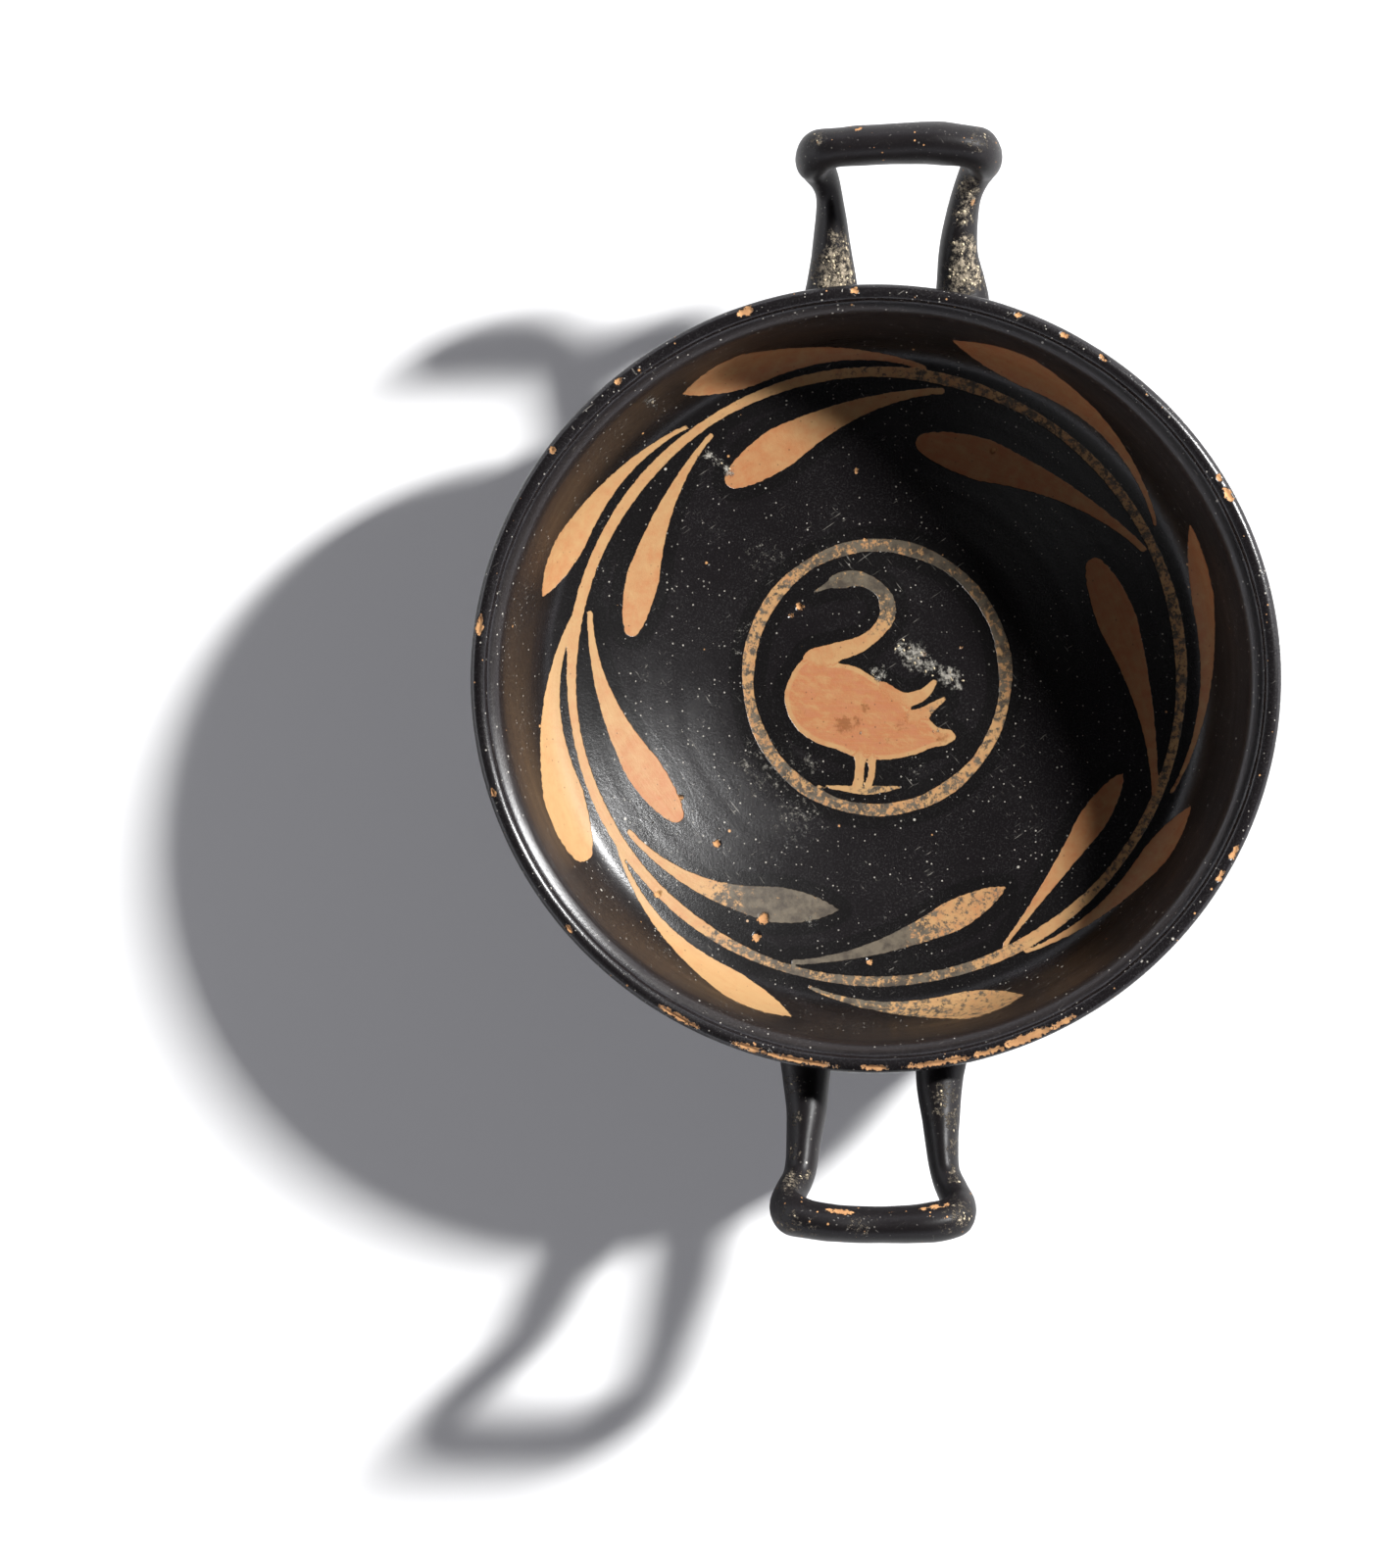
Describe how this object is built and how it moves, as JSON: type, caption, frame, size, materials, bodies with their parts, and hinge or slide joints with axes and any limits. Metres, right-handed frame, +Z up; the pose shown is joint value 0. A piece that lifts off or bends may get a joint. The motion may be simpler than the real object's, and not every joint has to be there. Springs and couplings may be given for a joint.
{
  "type": "kylix drinking cup",
  "caption": "Shallow black-glazed drinking cup with ring foot and upturned loop handles, painted inside with a swan and laurel wreath.",
  "frame": {"origin": "on the table under the middle of the bounding box; the bowl's own axis stands 0.8 mm further towards +Y", "axes": "+Z up out of the bowl, +Y along the line from handle to handle towards the handle above the swan's head, +X across the bowl towards the swan's tail"},
  "size_m": [0.1518, 0.2086, 0.0694],
  "materials": {
    "slip_glazed_clay": "glossy black slip over orange clay, with designs reserved in the clay colour and pale lime crust"
  },
  "bodies": {
    "root": {"kylix_cup": "slip_glazed_clay"}
  },
  "joints": []
}
